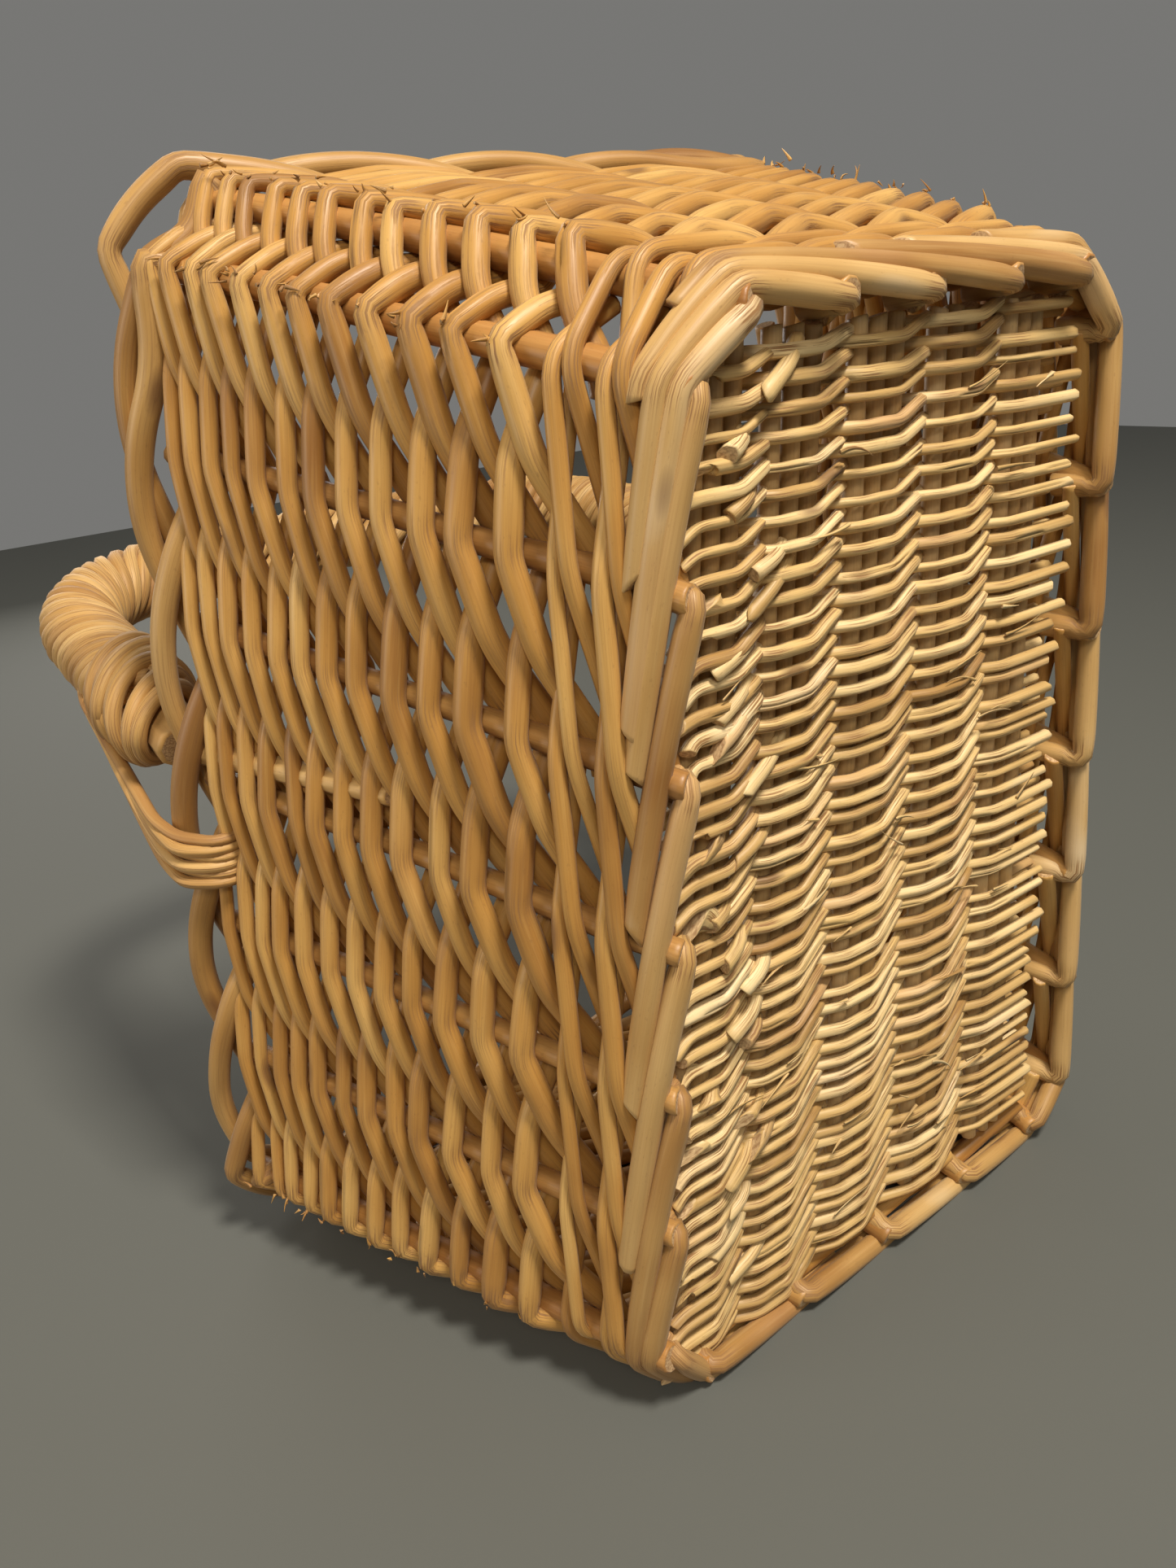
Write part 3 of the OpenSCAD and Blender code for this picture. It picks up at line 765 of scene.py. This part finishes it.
def floorRow(row):
    # over a bundle when row + bundle is even: level across it, then a slant towards the narrow end,
    # then down behind the next. Over is towards the ground, where the weavers show
    x = leftX + floorSizes["endGap"] + row * floorSizes["pitch"] + rng.normal(0, 0.4 * mm)
    share = row / (rowCount - 1)
    slant = floorSizes["slantWide"] + (floorSizes["slantNarrow"] - floorSizes["slantWide"]) * share
    x = x - slant * 1.2
    size = rng.choice([rng.uniform(*floorSizes["thin"]), rng.uniform(*floorSizes["thick"])],
                      p=[floorSizes["thinShare"], 1 - floorSizes["thinShare"]])
    radius = floorSizes["weaverRadius"] * size
    points = []
    for bundle, bundleShare in enumerate(floorSizes["shares"]):
        y = bundleY(bundleShare, x)
        if (row + bundle) % 2 == 0:
            points.append((x, y - 12 * mm, stickZ - floorDepth))
            points.append((x, y + 7 * mm, stickZ - floorDepth * 1.06))
            if bundle < lastBundle:
                x = x + slant * rng.uniform(*floorSizes["slantSpread"])
                points.append((x, y + 19 * mm, stickZ - floorDepth * 0.85))
        else:
            points.append((x, y - 6 * mm, stickZ + floorDepth))
            points.append((x, y + 6 * mm, stickZ + floorDepth))
    tail = np.array([rng.uniform(0, 7), rng.uniform(2, 17), rng.uniform(-1, 2)]) * mm
    frontEnd = points[0] - tail
    scarfed = rng.uniform() < floorSizes["scarfed"]
    # a row that ends on the inner side of the last bundle runs on further
    longer = 2 if (row + lastBundle) % 2 == 0 else 12
    backEnd = points[-1] + np.array([0, rng.uniform(13, 25) + longer, 0]) * mm
    points = np.array([frontEnd, *points, backEnd])
    limit = floorHalf(points[:, 0]) + 1 * mm
    points[:, 1] = np.clip(points[:, 1], baseCentre[1] - limit, baseCentre[1] + limit + 11 * mm)
    points[:, 0] = np.clip(points[:, 0], leftX + 2 * mm, rightX - 4 * mm)
    slantStart = rng.uniform(1.8, 4.0) if scarfed else rng.uniform(0.05, 0.9)
    slantEnd = rng.uniform(0.1, 0.8)
    crackStarts = rng.uniform(0, 0.24, rng.integers(0, 3))
    cracks = [(start, start + rng.uniform(10, 40) * mm, 0.55) for start in crackStarts]
    return rod(points, radius * 1.05, radius * 0.9, reach=floorSizes["reach"], step=floorSizes["step"],
               sides=floorSizes["sides"], slantStart=slantStart, slantEnd=slantEnd, flatten=0.12,
               cracks=cracks, crackTurn=rng.uniform(1.0, 2.2))


def floorStub(index):
    # a thick cut end pushed in beside the front bundle, lying slantwise over the floor's front edge
    share = 0.08 + 0.84 * (index + rng.uniform(-0.3, 0.3)) / (floorSizes["stubs"] - 1)
    x = leftX + share * baseLength
    y = baseCentre[1] - floorHalf(x) * rng.uniform(0.70, 0.92)
    length = rng.uniform(16, 34) * mm
    way = unit(np.array([rng.uniform(0.25, 0.8), 1.0, 0.0]))
    start = np.array([x, y, stickZ - floorDepth - rng.uniform(0.5, 2.5) * mm])
    points = np.array([start, start + way * length * 0.6, start + way * length + [0, 0, 6 * mm]])
    radius = rng.uniform(2.6, 3.9) * mm
    return rod(points, radius, radius * 0.85, sides=floorSizes["sides"],
               slantStart=rng.uniform(0.1, 2.4), flatten=0.1)


def floorSplinter():
    # a torn strip lifting off the underside, anywhere on the floor
    x = rng.uniform(leftX + 30 * mm, rightX - 30 * mm)
    y = baseCentre[1] + floorHalf(x) * rng.uniform(-0.85, 0.8)
    start = np.array([x, y, stickZ - floorDepth - 2.2 * mm])
    way = np.array([rng.normal(0.15, 0.35), rng.choice([-1, 1]), rng.uniform(-0.12, 0.02)])
    length = rng.uniform(8, 26) * mm
    width = rng.uniform(0.5, 1.4) * mm
    return splinter(start, way, length, width, rng.normal(0, 0.2, 3) * [1, 1, 0.15])


floorRows = [floorRow(row) for row in range(rowCount)]
stubs = [floorStub(index) for index in range(floorSizes["stubs"])]
torn = [floorSplinter() for _ in range(floorSizes["splinters"])]
makePiece("floor_stubs", stubs + torn, floorWillow, ["base_weave"])
third = rowCount // 3
thirds = {"left": floorRows[:third], "middle": floorRows[third:2 * third], "right": floorRows[2 * third:]}
for part, rows in thirds.items():
    makePiece("floor_weavers_" + part, rows, floorWillow, ["base_weave"])
print("floor woven", rowCount)


handleSizes = {
    "ropeRadius": 21 * mm, "shoulder": 75 * mm, "crown": 900 * mm, "tilt": math.radians(9),
    "core": 13.6 * mm, "rods": 9, "rodRadius": 4.7 * mm, "ropeStart": 44 * mm,
    "legPitch": math.radians(54), "crownPitch": math.radians(38),
    "pitchChange": 210 * mm, "pitchChangeLength": 60 * mm, "sides": 9}
ropeLow, ropeHigh = boxOf("handle_roping")
bowPoints = nodePoints("handle_bow")
tilt = handleSizes["tilt"]
planeNormal = np.array([math.cos(tilt), 0, -math.sin(tilt)])
bowLean = np.array([math.sin(tilt), 0, math.cos(tilt)])


def bowPath():
    # the bow's centre line in its tilted plane: up the front leg, round the shoulder, over the crown and down
    # the shoulder's arc meets the crown's where sin(crown angle) = (span - shoulder) / (crown - shoulder)
    legX = bowPoints[np.abs(bowPoints[:, 2] - rimZ) < 2 * mm, 0].mean()
    span = (ropeHigh[1] - ropeLow[1]) / 2 - handleSizes["ropeRadius"]
    rise = (ropeHigh[2] - rimZ - handleSizes["ropeRadius"]) / math.cos(tilt)
    radius = handleSizes["shoulder"]
    crown = handleSizes["crown"]
    crownAngle = math.asin((span - radius) / (crown - radius))
    spring = rise - (crown - (crown - radius) * math.cos(crownAngle))
    up = np.linspace(0, spring, 30)[:-1]
    leg = np.stack([np.full(len(up), -span), up], axis=1)
    turn = np.linspace(0, math.pi / 2 - crownAngle, 40)[:-1]
    shoulder = np.stack([-(span - radius) - radius * np.cos(turn), spring + radius * np.sin(turn)], axis=1)
    over = np.linspace(-crownAngle, 0, 20)
    top = np.stack([crown * np.sin(over), rise - crown + crown * np.cos(over)], axis=1)
    half = np.concatenate([leg, shoulder, top])
    flat = np.concatenate([half, half[-2::-1] * [-1, 1]])
    return np.array([legX, 0, rimZ]) + flat[:, :1] * [0, 1, 0] + flat[:, 1:] * bowLean


coreLine, coreAlong = evenly(bowPath(), 3 * mm)
coreIn = unit(np.cross(planeNormal, unit(np.gradient(coreLine, axis=0))))
coreLength = coreAlong[-1]
legFeet = {-1: coreLine[0], 1: coreLine[-1]}  # where the bow passes the rim, in front and at the back
# the twist is tight up the legs and round the shoulders, and long over the crown
fromEnd = np.minimum(coreAlong, coreLength - coreAlong)
crownShare = np.clip((fromEnd - handleSizes["pitchChange"]) / handleSizes["pitchChangeLength"], 0, 1)
pitchAngle = handleSizes["legPitch"] * (1 - crownShare) + handleSizes["crownPitch"] * crownShare
twistRadius = handleSizes["core"] + handleSizes["rodRadius"] * 0.9
turns = np.concatenate([[0], np.cumsum(np.tan(pitchAngle[1:]) / twistRadius * np.diff(coreAlong))])


def bowLeg(side):
    # below the rim each leg is a thinner rod that runs down beside the middle stake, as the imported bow's does
    legLow = bowPoints[:, 2].min()
    leg = bowPoints[(bowPoints[:, 2] < rimZ) & (bowPoints[:, 1] * side > 0)]
    foot = leg[leg[:, 2] < legLow + 3 * mm]
    ends = np.array([[*foot[:, :2].mean(axis=0), legLow], legFeet[side]])
    return rod(ends, np.ptp(foot[:, 0]) / 2, handleSizes["core"] / 2, reference=(1, 0, 0.1))


def ropingRod(n):
    # a rod round the bow: centre line + r (cos a normal + sin a inward), a = its own start + turns so far
    keep = (coreAlong >= handleSizes["ropeStart"]) & (coreAlong <= coreLength - handleSizes["ropeStart"])
    angle = 2 * math.pi * n / handleSizes["rods"] + turns[keep]
    ring = np.cos(angle)[:, None] * planeNormal + np.sin(angle)[:, None] * coreIn[keep]
    radius = handleSizes["rodRadius"]
    return rod(coreLine[keep] + twistRadius * ring, radius, radius * 0.95, step=3.0 * mm,
               sides=handleSizes["sides"], reference=ring, rounded=False, wobble=0.03)


coreRadius = handleSizes["core"]
core = rod(coreLine, coreRadius, coreRadius, step=5 * mm, reference=(1, 0, 0.1), rounded=False)
makePiece("bow_rod", [core, bowLeg(-1), bowLeg(1)], handleWillow, ["handle_bow"])
roping = [ropingRod(n) for n in range(handleSizes["rods"])]
makePiece("bow_roping", roping, handleWillow, ["handle_roping"])

# heights are above the rim along the bow's lean
lashing = {
    "rods": 6, "radius": 3.2 * mm, "tip": 2.9 * mm, "sway": 0.8 * mm,
    "reach": 6.5 * mm, "slant": 1.5,
    "rimStart": 36 * mm, "rimPitch": 4.2 * mm,  # from the leg towards the wide end
    "high": 92 * mm, "half": 46 * mm, "drop": 5 * mm, "tuck": 26 * mm}
# round the rim: along x, outward, and up from the rim's centre, over its outside, under it and up its inside
rimLoop = np.array([[4, 22, 5], [0, 18, -14], [-1, 6, -31], [-1, -14, -27], [1, -21, -6], [9, -17, 18]]) * mm


def lashingRod(n, side):
    # leaves the bow's outer face above the rim, slants to the wide end, goes round the rim
    # and up to the bow's inner face. Every other rod hangs lower on the rim's outside
    legFoot = legFeet[side]
    outwards = np.array([1, side, 1])
    high = legFoot + bowLean * (lashing["high"] - n * lashing["drop"])
    half = legFoot + bowLean * (lashing["half"] - n * lashing["drop"])
    edge = legFoot - [lashing["rimStart"] + n * lashing["rimPitch"], 0, 0]
    sway = rng.normal(0, lashing["sway"], 3)
    offBow = np.array([[-2, 14, 0], [-9 - n, 21, 0], [-20 - 3 * n, 23, 0], [-8, -19, 0]]) * mm * outwards
    loop = rimLoop * outwards
    loop[1] += np.array([0, 3 * side, -5]) * mm * (n % 2)
    points = np.array([
        high + bowLean * lashing["tuck"] + offBow[0],
        high + offBow[1],
        half + offBow[2] + sway,
        *(edge + loop),
        high + offBow[3]])
    return rod(points, lashing["radius"], lashing["tip"], reach=lashing["reach"], sides=handleSizes["sides"],
               reference=(1, 0.1, 0.1), flatten=0.12, slantStart=lashing["slant"], slantEnd=lashing["slant"])


wraps = {
    "turns": 7, "startAngle": 4.0, "sweep": 2.04 * math.pi, "points": 40,
    "low": 32, "pitch": 8.4, "drape": 13, "extraDrape": 5,  # millimetres along the bow's lean
    "firstAway": 17.8, "moreAway": 2.4, "mostAway": 22.0,  # millimetres from the leg's middle
    "radius": 4.7 * mm, "tip": 4.0 * mm, "slant": 1.8}


def wrap(n, side):
    # once round the leg where the roping ends: foot + lean height + r (cos a normal + sin a outward),
    # where height falls by drape sin a, so that the turn hangs lower on the outside
    angle = np.linspace(wraps["startAngle"], wraps["startAngle"] + wraps["sweep"], wraps["points"])[:, None]
    ring = np.cos(angle) * planeNormal + np.sin(angle) * [0, side, 0]
    hang = (wraps["drape"] + wraps["extraDrape"] * (n % 2)) * np.sin(angle + rng.normal(0, 0.25))
    height = wraps["low"] + n * wraps["pitch"] - hang + rng.normal(0, 1.2)
    away = min(wraps["mostAway"] + n % 3, wraps["firstAway"] + wraps["moreAway"] * n)
    points = legFeet[side] + (bowLean * height + ring * away) * mm
    return rod(points, wraps["radius"], wraps["tip"], sides=handleSizes["sides"], reference=bowLean,
               rounded=False, slantStart=wraps["slant"], slantEnd=wraps["slant"])


tails = {
    "rods": 5, "radius": 2.8 * mm, "tip": 2.5 * mm, "pitch": 5.7 * mm,
    "depth": -17.5 * mm, "high": 36 * mm, "half": 75 * mm, "low": (100, 120)}
middleStake = (firstStakes[0] + lastStakes[0]) / 2


def tailRod(n, side, box):
    # the ends of the handle's rods, side by side down the inside of the wall
    x = box[0][0] + 3 * mm + n * tails["pitch"]
    here, beside = stakeAt(middleStake, rimZ)[0], stakeAt(middleStake + 1, rimZ)[0]
    number = middleStake + (x - here) / (beside - here)
    number = number if side < 0 else lastStakes[2] - number  # the back wall's stakes count the other way
    depths = np.array([tails["high"], tails["half"], rng.uniform(*tails["low"]) * mm])
    points = wallPoints(np.full(3, number), np.full(3, tails["depth"]), rimZ - depths)
    return rod(points, tails["radius"], tails["tip"], reach=20 * mm, sides=handleSizes["sides"],
               reference=(1, 0.1, 0))


for side, wall in ((-1, "front"), (1, "back")):
    rods = [lashingRod(n, side) for n in range(lashing["rods"])]
    rods += [wrap(n, side) for n in range(wraps["turns"])]
    makePiece(wall + "_lashing", rods, handleWillow, [wall + "_handle_lashing"])
    tailBox = boxOf(wall + "_handle_tails")
    rods = [tailRod(n, side, tailBox) for n in range(tails["rods"])]
    makePiece(wall + "_tails", rods, handleWillow, [wall + "_handle_tails"])
print("handle made")


stage = {
    "reach": 3.0, "standingColour": (0.62, 0.60, 0.57), "besideColour": (0.105, 0.108, 0.095), "rough": 0.75}


def stagePlane(name, points, colour):
    # a big plane that can be seen through from its back
    mesh = bpy.data.meshes.new(name)
    mesh.from_pydata(points, [], [(0, 1, 2, 3)])
    piece = bpy.data.objects.new(name, mesh)
    bpy.context.scene.collection.objects.link(piece)
    material = bpy.data.materials.new(name)
    material.use_nodes = True
    nodes, links = material.node_tree.nodes, material.node_tree.links
    shader = nodes["Principled BSDF"]
    shader.inputs["Base Color"].default_value = (*colour, 1)
    shader.inputs["Roughness"].default_value = stage["rough"]
    clear = nodes.new("ShaderNodeBsdfTransparent")
    blend = nodes.new("ShaderNodeMixShader")
    geometry = nodes.new("ShaderNodeNewGeometry")
    links.new(geometry.outputs["Backfacing"], blend.inputs[0])
    links.new(shader.outputs[0], blend.inputs[1])
    links.new(clear.outputs[0], blend.inputs[2])
    links.new(blend.outputs[0], nodes["Material Output"].inputs["Surface"])
    mesh.materials.append(material)
    return piece


far = stage["reach"]
level = [(-far, -far, 0), (far, -far, 0), (far, far, 0), (-far, far, 0)]
standing = stagePlane("floor_under_basket", level, stage["standingColour"])
# the lights below it reach the basket, and it casts no shade or colour on it
standing.visible_shadow = False
standing.visible_diffuse = False
standing.visible_glossy = False
leftRim = boxOf("left_rim_rods")[0][0]
leftFoot = boxOf("left_foot_rods")[0][0]


def besideX(z):
    # the surface that the basket's left end leans on, through its rim and its foot, 2 mm clear
    return leftRim - 2 * mm - (leftFoot - leftRim) / wallHeight * (z - rimZ)


low, high = besideX(-far), besideX(far)
beside = [(low, -far, -far), (low, far, -far), (high, far, far), (high, -far, far)]
stagePlane("floor_beside_basket", beside, stage["besideColour"])


def areaLight(name, towards, distance, size, power, colour):
    # a square soft light at a distance from the basket's middle, facing it
    middle = np.mean(cadBounds, axis=0)
    way = unit(np.array(towards, float))
    light = bpy.data.lights.new(name, "AREA")
    light.shape = "SQUARE"
    light.size = size
    light.energy = power
    light.color = colour
    lamp = bpy.data.objects.new(name, light)
    lamp.location = middle + way * distance
    lamp.rotation_mode = "QUATERNION"
    lamp.rotation_quaternion = Vector(-way).to_track_quat("-Z", "Y")
    bpy.context.scene.collection.objects.link(lamp)


areaLight("key_light", (0.62, -0.45, -0.65), 2.2, 0.5, 11, (1.0, 0.94, 0.84))
areaLight("above_light", (0.90, 0.00, -0.42), 2.6, 0.5, 80, (1.0, 0.94, 0.85))
areaLight("side_light", (0.15, -1.0, 0.25), 1.8, 0.9, 9.5, (1.0, 0.93, 0.82))
areaLight("top_light", (0.3, 0.1, 1.0), 1.8, 1.2, 9, (1.0, 0.96, 0.92))
areaLight("back_light", (-0.8, 0.9, 0.6), 2.0, 1.2, 13, (1.0, 0.96, 0.92))

world = bpy.data.worlds.new("pale_room")
bpy.context.scene.world = world
world.use_nodes = True
world.node_tree.nodes["Background"].inputs["Color"].default_value = (0.93, 0.92, 0.88, 1)
world.node_tree.nodes["Background"].inputs["Strength"].default_value = 0.20

# the camera looks up at the front wall and the underside, turned so that the basket lies on its wide end
view = {
    "lens": 27.05, "sensor": 36, "right": (-0.0638, 0.7941, -0.6044), "up": (0.9147, 0.2887, 0.2827),
    "place": (0.528, -0.844, -0.646)}  # from the foot ring's middle, in foot ring lengths
camera = bpy.data.cameras.new("camera")
camera.lens = view["lens"]
camera.sensor_width = view["sensor"]
camera.sensor_fit = "AUTO"
camera.clip_start = 0.01
cameraObject = bpy.data.objects.new("camera", camera)
turn = np.stack([view["right"], view["up"], np.cross(view["right"], view["up"])], axis=1)
cameraPlace = baseCentre + baseLength * np.array(view["place"])
cameraObject.matrix_world = Matrix.Translation(cameraPlace) @ Matrix(turn.tolist()).to_4x4()
bpy.context.scene.collection.objects.link(cameraObject)
bpy.context.scene.camera = cameraObject
bpy.context.scene.view_settings.view_transform = "Standard"
